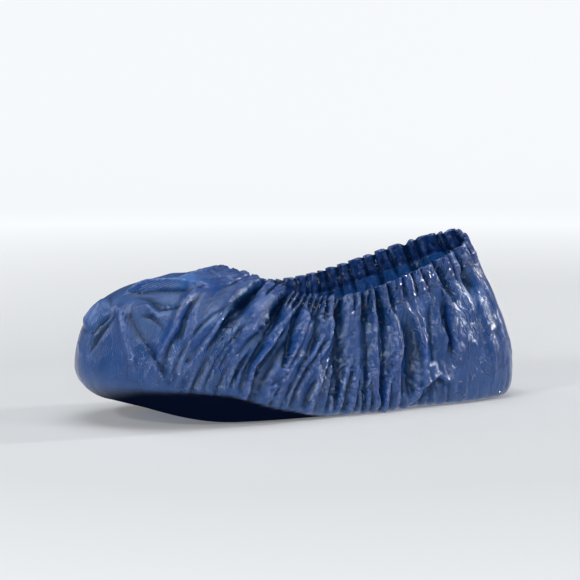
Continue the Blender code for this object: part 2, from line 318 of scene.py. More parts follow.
def wall_lengths(around):
    """Lengths from the edge to the shoulder and from there to the mouth."""
    shoulder = shoulder_point(around)
    lower = length(shoulder - table_point("edge", around))
    upper = length(table_point("mouth", around) - shoulder)
    return lower, upper


def smooth_skin(around, rise):
    """The skin without folds: rise 0 is the sole's border, TURN_END the edge, 1 the mouth."""
    around, rise = np.broadcast_arrays(np.asarray(around, float), np.asarray(rise, float))
    edge = table_point("edge", around)
    mouth = table_point("mouth", around)
    shoulder = shoulder_point(around)
    angle = 0.5 * math.pi * np.clip(rise / TURN_END, 0.0, 1.0)
    bulge = 2.0 / np.interp(np.mod(around, 1.0), TURN_PLACES, TURN_POWERS)
    low = sole_point(around)
    turn = low + outward(around) * (table_value("turn_in", around) * np.sin(angle) ** bulge)[..., None]
    turn[..., 2] = low[..., 2] + (edge[..., 2] - low[..., 2]) * (1.0 - np.cos(angle) ** bulge)
    lower, upper = wall_lengths(around)
    leaning = (mouth - edge) / length(mouth - edge)
    upright = np.zeros_like(edge)
    upright[..., 2] = UPRIGHT_PULL * lower[..., 0]
    lower_share = lower / (lower + upper)
    share = np.clip((rise[..., None] - TURN_END) / (1.0 - TURN_END), 0.0, None)
    first = hermite(edge, upright, shoulder, leaning * lower, np.clip(share / lower_share, 0, 1))
    second_share = np.clip((share - lower_share) / (1.0 - lower_share), 0, None)
    second = hermite(shoulder, leaning * upper, mouth, mouth - shoulder, second_share)
    wall = np.where(share < lower_share, first, second)
    return np.where(rise[..., None] < TURN_END, turn, wall)


def rise_below_mouth(around, depth):
    """The rise of a point that lies depth millimetres down the wall from the mouth."""
    lower, upper = wall_lengths(around)
    return 1.0 - (1.0 - TURN_END) * depth / (lower + upper)[..., 0]


def line_height(skin, around, height, half_width, places):
    """A fold along a line: a tent over it whose height runs out at both ends."""
    centre = places[len(places) // 2][0]
    columns = np.nonzero(np.abs(aside(around[0], centre)) < LINE_REACH)[0]
    near = skin[:, columns]
    knots = smooth_skin(*np.array(places, float).T)
    run = np.concatenate([[0.0], np.cumsum(length(np.diff(knots, axis=0))[:, 0])])
    nearest = np.full(near.shape[:2], np.inf)
    passed = np.zeros(near.shape[:2])
    for index, (start, end) in enumerate(zip(knots[:-1], knots[1:])):
        span = end - start
        share = np.clip(((near - start) @ span) / (span @ span), 0.0, 1.0)
        off = length(near - start - share[..., None] * span)[..., 0]
        closer = off < nearest
        nearest = np.where(closer, off, nearest)
        passed = np.where(closer, run[index] + share * (run[index + 1] - run[index]), passed)
    passed = passed / run[-1]
    ends = fade(passed, *LINE_ENDS) * fade(1.0 - passed, *LINE_ENDS)
    if half_width > ROUND_FROM:
        share = np.clip(nearest / (ROUND_WIDTH * half_width), 0.0, 1.0)
        tent = np.cos(0.5 * math.pi * share) ** 2
    else:
        tent = np.exp(-nearest / half_width)
    total = np.zeros(skin.shape[:2])
    total[:, columns] = height * tent * ends
    return total


def all_folds():
    """The main folds, and their mirrored and shifted copies on the far side."""
    rng = np.random.default_rng(MIRROR_SEED)
    near = [(height, half_width, [(place / 1000, rise / 1000) for place, rise in line])
            for height, half_width, line in FOLDS]
    far = []
    for height, half_width, line in near:
        shift = rng.uniform(-MIRROR_SHIFT, MIRROR_SHIFT)
        if min(place for place, _ in line) > MIRROR_FROM:
            far.append((height, half_width, [(1.0 - place + shift, rise) for place, rise in line]))
    return near + far


def lean(place):
    """How far folds drift round the cover in a whole rise, towards the heel on both sides."""
    return np.interp(near_side(place), LEAN_PLACES, LEANS) * (1.0 if place < 0.5 else -1.0)


def fan_lines():
    """Fine ridges and valleys by turns that rise from the turn line and lean with the main folds."""
    rng = np.random.default_rng(FAN_SEED)
    rows = []
    place = FAN_FROM
    sign = 1.0
    while place < FAN_TO:
        share = crumpled(place) * np.interp(near_side(place), FAN_PLACES, FAN_SHARES)
        height = sign * rng.uniform(*FAN_HEIGHTS) * share
        low = turn_line(place) + rng.uniform(*FAN_STARTS)
        span = rng.uniform(*FAN_RISES)
        bends = rng.uniform(-FAN_BEND, FAN_BEND, FAN_POINTS)
        ups = span * np.linspace(0.0, 1.0, FAN_POINTS)
        places = [(place + lean(place) * up + bend, min(low + up, FAN_TOP)) for up, bend in zip(ups, bends)]
        rows.append((height, 1.0, places))
        place += rng.uniform(*FAN_STEPS)
        sign = -sign
    return rows


def strewn_lines():
    """Small seeded creases all over the wall."""
    rng = np.random.default_rng(STREWN_SEED)
    rows = []
    for _ in range(STREWN_COUNT):
        place = rng.uniform(0.0, 1.0)
        height = rng.uniform(*STREWN_HEIGHTS) * crumpled(place)
        low = rng.uniform(*STREWN_STARTS)
        span = rng.uniform(*STREWN_RISES)
        slant = rng.uniform(-STREWN_SLANT, STREWN_SLANT)
        end = (place + slant + lean(place) * span, min(low + span, 1.0))
        rows.append((height, 1.0, ((place, low), end)))
    return rows


def hem_lines():
    """Fine creases across the hem, ridges and valleys by turns."""
    rng = np.random.default_rng(HEM_SEED)
    rows = []
    place = 0.0
    sign = 1.0
    while place < 1.0:
        seal = rise_below_mouth(np.array(place), SEAL_DEPTH * rng.uniform(*HEM_FEET))
        slants = rng.uniform(-HEM_SLANT, HEM_SLANT, 2)
        middle = (place + slants[0], 0.5 * (seal + 1.0))
        end = (place + slants[1], 1.0 + HEM_PAST * rng.uniform(-1.0, 1.0))
        rows.append((sign * rng.uniform(*HEM_HEIGHTS), 1.0, ((place, seal), middle, end)))
        place += rng.uniform(*HEM_STEPS)
        sign = -sign
    return rows


def fold_height(skin, around, rows):
    """Sum of the folds on the skin, in millimetres."""
    total = np.zeros(skin.shape[:2])
    for height, half_width, places in rows:
        total += line_height(skin, around, height, half_width, places)
    return total


# Gathers at the hem: each near crease's place round the mouth and its depth in millimetres. Their
# feet drift towards the heel, more at the front.
NEAR_CREASES = (
    (0.013, 3.5), (0.045, 1.2), (0.072, 1.6), (0.101, 6.0), (0.125, 1.5), (0.150, 6.0),
    (0.162, 2.0), (0.172, 4.0), (0.183, 2.5), (0.193, 3.5), (0.203, 4.0), (0.211, 2.5),
    (0.219, 3.5), (0.232, 2.5), (0.242, 5.5), (0.262, 1.2), (0.278, 5.0), (0.287, 2.0),
    (0.300, 5.5), (0.319, 4.0), (0.341, 1.2), (0.357, 1.5), (0.372, 1.5), (0.396, 5.5),
    (0.416, 2.0), (0.432, 5.0), (0.452, 1.5), (0.470, 2.0), (0.486, 3.5),
)
DRIFT_PLACES = (0.00, 0.05, 0.10, 0.15, 0.20, 0.23, 0.26, 0.30, 0.40, 0.43, 0.50)
DRIFTS = (0.000, 0.012, 0.030, 0.028, 0.020, 0.018, 0.009, 0.009, 0.009, 0.002, 0.000)
DRIFT_GAIN = 3.0

# The far side's seeded creases, with steps that grow to twice their width near the toe
FAR_SEED = 11
FAR_START = 0.016
FAR_END = 0.99
FAR_STEPS = (0.009, 0.026)
FAR_WIDENING = (0.82, 0.92)
FAR_DEPTHS = (1.2, 4.2)
FAR_DRIFTS = (-0.003, 0.003)

# A crease's section in millimetres, by its depth, and how far down the wall it reaches
CREASE_GAIN = 1.2
CREASE_DEPTHS = (2.0, 6.0)
CREASE_WIDTHS = (0.9, 2.5)
CREASE_WIDENING = 0.8
CREASE_POWER = 2.2
CREASE_REACH = 0.16
REACH_BY_DEPTH = 0.055
REACH_FADE = 0.4

# The crests between creases, in millimetres, and where they fade down the wall
CREST_BASE = 0.6
CREST_HEIGHT = 1.7
CREST_EDGE = 1.6
CREST_FADE = (0.1, 0.35)
MOUTH_PERIMETER = 430.0


def crease_table():
    """Places and depths of the creases round the whole mouth, and where each foot drifts."""
    rng = np.random.default_rng(FAR_SEED)
    rows = list(NEAR_CREASES)
    place = rows[-1][0] + FAR_START
    while place < FAR_END:
        rows.append((place, rng.uniform(*FAR_DEPTHS)))
        place += rng.uniform(*FAR_STEPS) * (1.0 + fade(place, *FAR_WIDENING))
    drifts = np.interp([near_side(row[0]) for row in rows], DRIFT_PLACES, DRIFTS)
    drifts = drifts + rng.uniform(*FAR_DRIFTS, len(rows))
    return [(place, depth, drift if place < 0.5 else -drift) for (place, depth), drift in zip(rows, drifts)]


CREASES = crease_table()


def gathers(around, rise):
    """Height of the gathers: sharp creases between rounded crests, fading down the wall."""
    down = np.clip(1.0 - rise, 0.0, None) / (1.0 - TURN_END)
    total = np.zeros(rise.shape)
    nearest = np.full(rise.shape, np.inf)
    for place, depth, drift in CREASES:
        off = np.abs(aside(around, place + DRIFT_GAIN * drift * down)) * MOUTH_PERIMETER
        width = np.interp(depth, CREASE_DEPTHS, CREASE_WIDTHS) * (1.0 + CREASE_WIDENING * down)
        reach = CREASE_REACH + REACH_BY_DEPTH * depth
        trench = np.exp(-(off / width) ** CREASE_POWER)
        total -= CREASE_GAIN * depth * trench * (1.0 - fade(down, REACH_FADE * reach, reach))
        nearest = np.minimum(nearest, off)
    crest = CREST_BASE + CREST_HEIGHT * (1.0 - np.exp(-nearest / CREST_EDGE))
    return total + crest * (1.0 - fade(down, *CREST_FADE))


def skin_normal(around, rise):
    """Outward direction of the smooth skin."""
    step = 0.004
    along = smooth_skin(around + step, rise) - smooth_skin(around - step, rise)
    up = smooth_skin(around, rise + step) - smooth_skin(around, rise - step)
    normal = np.cross(along, up)
    return normal / length(normal)


# How far below the turn line the film starts to fold and is quite free, as a rise
CALM_BELOW = (0.045, 0.005)


def calm_share(around, rise):
    """0 in the smooth turn under the foot, 1 where the film is free to fold."""
    line = turn_line(around)
    return fade(rise, line - CALM_BELOW[0], line - CALM_BELOW[1])


# Grids

def grid_faces(rows, columns):
    """Quads of a grid whose columns close round the foot."""
    row, column = np.meshgrid(np.arange(rows - 1), np.arange(columns), indexing="ij")
    low = row * columns + column
    low_beside = row * columns + (column + 1) % columns
    quads = np.stack([low, low_beside, low_beside + columns, low + columns], -1)
    return quads.reshape(-1, 4)


def spline_weights(share):
    """Weights of the four knots round a place between two of them."""
    square = share * share
    cube = square * share
    return (
        (1 - 3 * share + 3 * square - cube) / 6,
        (4 - 6 * square + 3 * cube) / 6,
        (1 + 3 * share + 3 * square - 3 * cube) / 6,
        cube / 6,
    )


def smooth_noise(rng, shape, cells):
    """Seeded noise from -1 to 1 that closes round the foot, with so many cells up and round."""
    cells_up, cells_around = cells
    knots = rng.uniform(-1.0, 1.0, (cells_up + 3, cells_around))
    up = np.linspace(0.0, cells_up, shape[0])
    around = np.arange(shape[1]) * cells_around / shape[1]
    low, left = np.floor(up).astype(int), np.floor(around).astype(int)
    total = np.zeros(shape)
    for up_step, up_weight in enumerate(spline_weights(up - low)):
        knot_rows = knots[np.minimum(low + up_step, cells_up + 2)]
        for around_step, around_weight in enumerate(spline_weights(around - left)):
            total += knot_rows[:, (left + around_step) % cells_around] * np.outer(up_weight, around_weight)
    return total


def linked(name, data):
    """A new object in the scene."""
    item = bpy.data.objects.new(name, data)
    bpy.context.scene.collection.objects.link(item)
    return item


def new_mesh(name, points, faces, flat, **values_by_name):
    """A smooth-shaded mesh from points in millimetres, with flat places and numbers at each point."""
    mesh = bpy.data.meshes.new(name)
    mesh.from_pydata((points.reshape(-1, 3) * MM).tolist(), [], [list(face) for face in faces])
    mesh.update()
    mesh.shade_smooth()
    layer = mesh.uv_layers.new(name="flat")
    corners = np.empty(len(mesh.loops), dtype=np.int32)
    mesh.loops.foreach_get("vertex_index", corners)
    layer.data.foreach_set("uv", flat.reshape(-1, 2)[corners].astype(np.float32).ravel())
    for kind, values in values_by_name.items():
        kept = mesh.attributes.new(kind, "FLOAT", "POINT")
        kept.data.foreach_set("value", values.astype(np.float32).ravel())
    return linked(name, mesh)


# Folding. The film is drawn tight between the lines of its folds, as a skin is over ribs, so it
# comes out as flat facets with sharp creases.

COLUMNS = 736
TURN_ROWS = 18
WALL_ROWS = 104
HEM_ROWS = 20
SEAL_ROW = TURN_ROWS + WALL_ROWS

# Lines on the grid: samples, how firmly they hold the film, how far their ends taper, and how much
# higher the near side's folds stand than their row says, up to a limit. In millimetres.
LINE_SAMPLES = 240
LINE_HOLD = 6.0
LINE_TAPER = 14.0
EDGE_PERIMETER = 750.0
WALL_LENGTH = 120.0
GAIN_PLACES = (0.00, 0.10, 0.14, 0.22, 0.30, 0.50)
FOLD_GAINS = (1.10, 1.20, 1.40, 1.30, 0.95, 0.95)
FOLD_LIMIT = 5.5

# Drawing tight: how often, how far the film falls back to the skin between the lines, and the
# share of the pull that runs up the wall.
TIGHTENINGS = 500
FINE_TIGHTENINGS = 160
HEM_TIGHTENINGS = 60
SLACK = 0.007
FINE_SLACK = 0.01
UP_SHARE = 0.55

# Cusps pinched along the narrow lines, in millimetres and as a share of the fold's height
PINCH_HEIGHT = 1.5
PINCH_SHARE = 0.5
PINCH_WIDTH = 1.1

# A share of the mean height near by is taken off, so folds go in and out alike
CENTRE_REACH = 24
CENTRE_SHARE = 0.6

# Unevenness and the hem, in millimetres, and the cells of the noise up and round
NOISE_SEED = 3
WALL_NOISE = 0.15
WALL_CELLS = (24, 150)
HEM_NOISE = 0.8
HEM_CELLS = (40, 300)
HEM_CALMING = 0.6
SEAL_STEP = 0.8
SHARPENING = 0.5
SHARPENING_REACH = 2
FLOOR_GAP = 0.2

# From where to where round the seal each change sets in, as a rise
CALMING_EDGE = (-0.04, 0.04)
STEP_EDGE = (-0.006, 0.004)
CREASING_EDGE = (-0.03, 0.01)
NOISE_EDGE = (-0.01, 0.02)

# Normals are taken just inside the ends of the skin
NORMAL_RISES = (0.005, 0.995)


def grid_places():
    """Places of the grid from the sole's border to the mouth."""
    around = np.arange(COLUMNS) / COLUMNS
    seal = rise_below_mouth(around, SEAL_DEPTH)
    turn = np.linspace(0.0, 1.0, TURN_ROWS, endpoint=False)[:, None] * TURN_END
    wall = TURN_END + np.linspace(0.0, 1.0, WALL_ROWS, endpoint=False)[:, None] * (seal - TURN_END)
    hem = seal + np.linspace(0.0, 1.0, HEM_ROWS + 1)[:, None] * (1.0 - seal)
    turn = np.broadcast_to(turn, (TURN_ROWS, COLUMNS))
    rise = np.concatenate([turn, wall, hem])
    return np.broadcast_to(around, rise.shape), rise


def fold_gain(places):
    """How much higher a fold stands than its row says."""
    centre = np.mod(places[len(places) // 2][0], 1.0)
    return np.interp(near_side(centre), GAIN_PLACES, FOLD_GAINS)


def ribs(rise, rows, gain=None):
    """How firmly each grid point is held by a fold's line, and at which height."""
    hold = np.zeros(rise.shape)
    pull = np.zeros(rise.shape)
    passed = np.linspace(0.0, 1.0, LINE_SAMPLES)
    for height, _, places in rows:
        places = np.array(places, float)
        knots = np.linspace(0.0, 1.0, len(places))
        across = np.interp(passed, knots, places[:, 0]) * COLUMNS
        left = np.floor(across).astype(int)
        height = FOLD_LIMIT * math.tanh((gain or fold_gain(places)) * height / FOLD_LIMIT)
        run = np.hypot(*(np.diff(places, axis=0) * (EDGE_PERIMETER, WALL_LENGTH)).T).sum()
        heights = height * fade(passed * run, -LINE_TAPER / 3, LINE_TAPER)
        heights *= fade((1.0 - passed) * run, -LINE_TAPER / 3, LINE_TAPER)
        up = np.interp(passed, knots, places[:, 1])
        up = np.array([np.interp(place, rise[:, column % COLUMNS], np.arange(len(rise)))
                       for place, column in zip(up, left)])
        low = np.minimum(np.floor(up).astype(int), len(rise) - 2)
        for row_step in (0, 1):
            for column_step in (0, 1):
                share = np.abs(1 - row_step - (up - low)) * np.abs(1 - column_step - (across - left))
                spot = (low + row_step, (left + column_step) % COLUMNS)
                np.add.at(hold, spot, share)
                np.add.at(pull, spot, share * heights)
    return np.clip(hold, 0.0, 1.0), pull / np.maximum(hold, 1e-6)


def tightened(hold, heights, tightenings=TIGHTENINGS, slack=SLACK):
    """Heights of a film drawn over ribs, falling back to the skin away from them."""
    film = heights * (hold > 0)
    for _ in range(tightenings):
        beside = 0.5 * (np.roll(film, 1, 1) + np.roll(film, -1, 1))
        above = np.concatenate([film[1:], film[-1:]])
        below = np.concatenate([film[:1], film[:-1]])
        mean = UP_SHARE * 0.5 * (above + below) + (1.0 - UP_SHARE) * beside
        film = (mean + LINE_HOLD * hold * heights) / (1.0 + LINE_HOLD * hold + slack)
    return film


def eased(values):
    """Heights without the stair steps of slanting lines."""
    padded = np.concatenate([values[:1], values, values[-1:]])
    values = 0.5 * values + 0.25 * (padded[:-2] + padded[2:])
    return 0.5 * values + 0.25 * (np.roll(values, 1, 1) + np.roll(values, -1, 1))


def mean_beside(values, reach):
    """Means over the neighbours round the foot."""
    return sum(np.roll(values, step, 1) for step in range(-reach, reach + 1)) / (2 * reach + 1)


def mean_near(values, reach):
    """Means over a square of neighbours."""
    beside = mean_beside(values, reach)
    padded = np.concatenate([np.repeat(beside[:1], reach, 0), beside, np.repeat(beside[-1:], reach, 0)])
    summed = np.concatenate([np.zeros_like(padded[:1]), np.cumsum(padded, 0)])
    count = 2 * reach + 1
    return (summed[count:] - summed[:-count]) / count


def main_folds(form, around, rise):
    """Heights of the main folds: film drawn over the narrow lines, wide rounds and pinched cusps."""
    lines = all_folds()
    wide = [row for row in lines if row[1] > ROUND_FROM]
    narrow = [row for row in lines if row[1] <= ROUND_FROM]
    pinches = [(max(-PINCH_HEIGHT, min(PINCH_SHARE * peak, PINCH_HEIGHT)), PINCH_WIDTH, places)
               for peak, _, places in narrow]
    height = eased(tightened(*ribs(rise, narrow)))
    return height + fold_height(form, around, wide) + fold_height(form, around, pinches)


def fine_folds(rise, rows, tightenings):
    """Heights of the film drawn over fine lines."""
    return tightened(*ribs(rise, rows, 1.0), tightenings, FINE_SLACK)


def past_seal(rise, seal, edge):
    """0 below the seal, 1 past it, smooth over the edge between."""
    return fade(rise, seal + edge[0], seal + edge[1])


def folded_film():
    """The film from the sole's border to the mouth's edge, its heights over the skin, and normals."""
    around, rise = grid_places()
    form = smooth_skin(around, rise)
    away = skin_normal(around, np.clip(rise, *NORMAL_RISES))
    seal = rise_below_mouth(around, SEAL_DEPTH)
    rng = np.random.default_rng(NOISE_SEED)
    height = main_folds(form, around, rise)
    height = height * (1.0 - HEM_CALMING * past_seal(rise, seal, CALMING_EDGE))
    height = height - CENTRE_SHARE * mean_near(height, CENTRE_REACH)
    height = height + eased(fine_folds(rise, fan_lines() + strewn_lines(), FINE_TIGHTENINGS))
    height = height + WALL_NOISE * smooth_noise(rng, rise.shape, WALL_CELLS)
    height = height * calm_share(around, rise) + gathers(around, rise)
    height = height + SEAL_STEP * past_seal(rise, seal, STEP_EDGE)
    height = height + fine_folds(rise, hem_lines(), HEM_TIGHTENINGS) * past_seal(rise, seal, CREASING_EDGE)
    height = height + HEM_NOISE * smooth_noise(rng, rise.shape, HEM_CELLS) * past_seal(rise, seal, NOISE_EDGE)
    height = height + SHARPENING * (height - mean_near(height, SHARPENING_REACH))
    film = form + away * height[..., None]
    film[..., 2] = np.maximum(film[..., 2], FLOOR_GAP)
    return film, height, away


# Pieces

# Rings of the sole: how far out each lies, its painted shade, and how far the innermost are drawn in
SOLE_SHARES = (0.10, 0.30, 0.50, 0.70, 0.86)
SOLE_PAINTED_SHADES = (0.0, 0.0, 0.10, 0.35, 0.70)
SOLE_DRAWN_IN = 0.08
SOLE_CRUMPLE = 0.6

# Crumpling sets in over the turn line, from a share of its rise to so much past it
CRUMPLE_FROM = 0.5
CRUMPLE_PAST = 0.03
HEM_CREASING = 2.8

# Heights over the skin, in millimetres, that count as the lowest valley and the highest ridge
# The material paints shade in the valleys and highlights on the ridges by these heights and relief.
LIFT_LOW = -3.5
LIFT_HIGH = 4.5
RELIEF_REACH = 3
RELIEF_SPAN = 2.0

# The two legs of the hem, in millimetres and rows: their gap at the seal, in full and where it opens
SEALED_GAP = 0.25
HEM_GAP = 1.5
OPENING_ROWS = 6.0
HEM_SMOOTHING = 2

# Spots of painted backlight, a brighter blue where the film would stand off the foot and let light
# through: place round the cover and its reach, height from 0 at the sole to 1 at the seal and its
# reach, and how strong the painted glow is.
PAINTED_BACKLIGHT_SPOTS = (
    (0.473, 0.014, 0.60, 0.60, 0.6),
    (0.000, 0.024, 0.45, 0.28, 0.20),
    (0.030, 0.060, 0.82, 0.12, 0.6),
    (0.930, 0.050, 0.85, 0.30, 0.5),
)


def flat_places(points, first_up=0.0):
    """Where each point lies on the flat film, in metres round and up it."""
    rows, columns = points.shape[:2]
    along = np.broadcast_to(np.arange(columns) / columns * 2.0 * CUT_LENGTH, (rows, columns))
    steps = length(np.diff(points, axis=0))[..., 0].mean(1)
    up = first_up + np.concatenate([[0.0], np.cumsum(steps)]) * MM
    return np.stack([along, np.broadcast_to(up[:, None], (rows, columns))], -1)


def patch(off, reach):
    """1 in the middle, 0 from reach on."""
    return fade(1.0 - np.abs(off) / reach, 0.0, 1.0)


def film_shares(shape, sole_rows=0, first_row=0):
    """How much painted shade, crumpling and painted backlight each point gets, from 0 to 1."""
    rows, columns = shape
    around = np.arange(columns) / columns
    row = np.maximum(np.arange(rows) - sole_rows, 0)[:, None] + first_row
    rise = TURN_END * row / TURN_ROWS
    line = turn_line(around)
    soft = np.interp(near_side(around), TURN_LINE_PLACES, PAINTED_SHADE_SOFTNESS)
    # The tone is painted shade on the turn under the sole, below the turn line.
    tone = 1.0 - fade(rise, line - soft, line + soft)
    crumple = crumpled(around) * fade(rise, CRUMPLE_FROM * line, line + CRUMPLE_PAST)
    # Painted backlight: brighter spots of glow, summed over the listed spots.
    painted_backlight = sum(share * patch(aside(around, place), reach) * patch(row / SEAL_ROW - middle, span)
                for place, reach, middle, span, share in PAINTED_BACKLIGHT_SPOTS)
    if sole_rows:
        tone[:sole_rows] *= np.array(SOLE_PAINTED_SHADES)[:, None]
        crumple[:sole_rows] = SOLE_CRUMPLE
    if first_row:
        crumple = crumple * HEM_CREASING
    return {"painted_sole_shade": tone, "crumple": crumple, "painted_backlight": np.clip(painted_backlight, 0.0, 1.0)}


def sole_rings(border):
    """Rings of the sole inside its border, the innermost first."""
    middle = border.copy()
    middle[:, 0] = 0.0
    middle[:, 1] = 0.5 * (border[:, 1] + border[(-np.arange(len(border))) % len(border), 1])
    rings = []
    for share in SOLE_SHARES:
        ring = middle + (border - middle) * share
        ring[:, 1] *= 1.0 - SOLE_DRAWN_IN * (1.0 - share)
        ring[:, 2] = sole_height(ring[:, 1])
        rings.append(ring)
    return np.array(rings)


def lift(height):
    """How far the film stands out from the smooth skin, 0 in the valleys to 1 on the ridges; the film's
    colour is darkened by it as painted shade in the valleys.
    """
    return np.clip((height - LIFT_LOW) / (LIFT_HIGH - LIFT_LOW), 0.0, 1.0)


def relief(height):
    """How far the film stands out from what is round it: 0.5 level, more on a ridge."""
    return np.clip(0.5 + (height - mean_near(height, RELIEF_REACH)) / RELIEF_SPAN, 0.0, 1.0)


def film_bag(film, lifts, reliefs):
    """The bag from the middle of the sole to the seal, as one sheet."""
    columns = film.shape[1]
    points = np.concatenate([sole_rings(film[0]), film[:SEAL_ROW + 1]])
    faces = grid_faces(len(points), columns).tolist()
    half = columns // 2
    faces.append([0, columns - 1, 1])
    for column in range(1, half - 1):
        faces.append([column, columns - column, columns - column - 1, column + 1])
    faces.append([half - 1, half + 1, half])
    lifts, reliefs = (np.concatenate([np.repeat(values[:1], len(SOLE_SHARES), 0), values[:SEAL_ROW + 1]])
                      for values in (lifts, reliefs))
    return new_mesh("film_bag", points, faces, flat_places(points), lift=lifts, relief=reliefs,
                    **film_shares(points.shape[:2], sole_rows=len(SOLE_SHARES)))


def hem_band(film, away, lifts, reliefs):
    """The folded hem: outer leg, fold and inner leg, as one sheet."""
    outer = film[SEAL_ROW:-1]
    gap = SEALED_GAP + (HEM_GAP - SEALED_GAP) * fade(np.arange(len(outer)), 0.0, OPENING_ROWS)
    inner = mean_beside(outer, HEM_SMOOTHING) - away[SEAL_ROW:-1] * gap[:, None, None]
    fold = film[-1:] - away[-1:] * 0.5 * HEM_GAP
    points = np.concatenate([film[SEAL_ROW:], fold, inner[::-1]])
    lifts, reliefs = (np.concatenate([values[SEAL_ROW:], values[SEAL_ROW:][::-1]])
                      for values in (lifts, reliefs))
    flat = flat_places(points, first_up=CUT_WIDTH)
    return new_mesh("hem_band", points, grid_faces(*points.shape[:2]), flat, lift=lifts, relief=reliefs,
                    **film_shares(points.shape[:2], first_row=SEAL_ROW))


def elastic_strip(film, away):
    """The flat elastic inside the hem."""
    first, last = (len(film) - 1 - round(depth / SEAL_DEPTH * HEM_ROWS)
                   for depth in (BAND_BOTTOM_DEPTH, BAND_TOP_DEPTH))
    rows = slice(first, last + 1)
    middle = 0.5 * (film[rows] + mean_beside(film[rows], HEM_SMOOTHING)) - away[rows] * 0.5 * HEM_GAP
    return new_mesh("elastic_strip", middle, grid_faces(*middle.shape[:2]), flat_places(middle))


# Materials

# Embossed diamonds, in metres, deeper by TIGHT_EMBOSS where the film is smooth
EMBOSS_PITCH = 0.0015
EMBOSS_DEPTH = 0.00011
TIGHT_EMBOSS = 1.8

# Layers of small flat facets: turn in degrees, stretch up the film, cells for each metre, depth.
# Noise warps their edges, its scale and reach given in cells.
FACET_LAYERS = (
    (12.0, 0.35, 110.0, 0.15),
    (-16.0, 0.50, 240.0, 0.16),
    (34.0, 0.60, 460.0, 0.26),
)
WARP_SCALE = 0.6
WARP_REACH = 0.8

# Layers of sparse fine creases: turn, stretch, cells for each metre, width. They come in patches.
SCRIBBLE_LAYERS = (
    (8.0, 0.30, 130.0, 0.022),
    (-18.0, 0.40, 190.0, 0.026),
    (30.0, 0.60, 160.0, 0.020),
)
SCRIBBLE_DEPTH = 0.0005
PATCH_SCALE = 0.45
PATCH_RANGE = (0.48, 0.60)

# Blues of the film. The first two pairs vary by its clouds; the darker pair goes in the valleys and the
# lighter on the ridges, as painted shade. The backlight blue is a painted glow, the crease, under-sole
# and dull blues are painted shade and the pale blue is a painted highlight. The last pair goes from
# wall to sole, its dark end painted shade.
VALLEY_SHADE_BLUES = ((0.003, 0.040, 0.150, 1.0), (0.005, 0.056, 0.200, 1.0))
RIDGE_LIGHT_BLUES = ((0.012, 0.050, 0.215, 1.0), (0.020, 0.066, 0.265, 1.0))
PAINTED_BACKLIGHT_BLUE = (0.006, 0.210, 0.680, 1.0)
PAINTED_CREASE_SHADE_BLUE = (0.002, 0.022, 0.080, 1.0)
PAINTED_HIGHLIGHT_BLUE = (0.30, 0.38, 0.52, 1.0)
PAINTED_UNDER_SHADE_BLUE = (0.002, 0.004, 0.018, 1.0)
THROUGH_BLUES = ((0.02, 0.15, 0.52, 1.0), (0.0, 0.01, 0.04, 1.0))
PAINTED_SHADE_DULL_BLUE = (0.002, 0.004, 0.015, 1.0)

# Noise scales, for each metre, and the ranges over which noise, relief and lift work
CLOUD_SCALE = 55.0
CLOUD_RANGE = (0.35, 0.65)
PAINTED_BACKLIGHT_RANGE = (0.35, 0.60)
FLECK_SCALE = 260.0
FLECK_RANGE = (0.42, 0.62)
RIDGE_RANGE = (0.58, 0.85)
CREASE_RANGE = (0.10, 0.45)
DEEP_RANGE = (0.0, 0.24)
# Strength of the painted highlights on the ridges
PAINTED_HIGHLIGHT_SHARE = 0.18
# Strength of the painted shade in the creases and deep in the valleys
PAINTED_CREASE_SHADE_SHARE = 0.85
PAINTED_DEEP_SHADE_SHARE = 0.8
# How much of the dull painted-shade diffuse goes into the creases
PAINTED_CREASE_DULLING = 0.45

FILM_ROUGHNESS = (0.10, 0.20)
UNDER_ROUGHNESS = 0.45
FILM_IOR = 1.7
FILM_TINT = (0.70, 0.86, 1.0, 1.0)
THROUGH_SHARE = 0.14

ELASTIC_GREYS = ((0.66, 0.68, 0.72, 1.0), (0.78, 0.79, 0.82, 1.0))
WEAVE_SCALE = 900.0
WEAVE_DEPTH = 0.0002


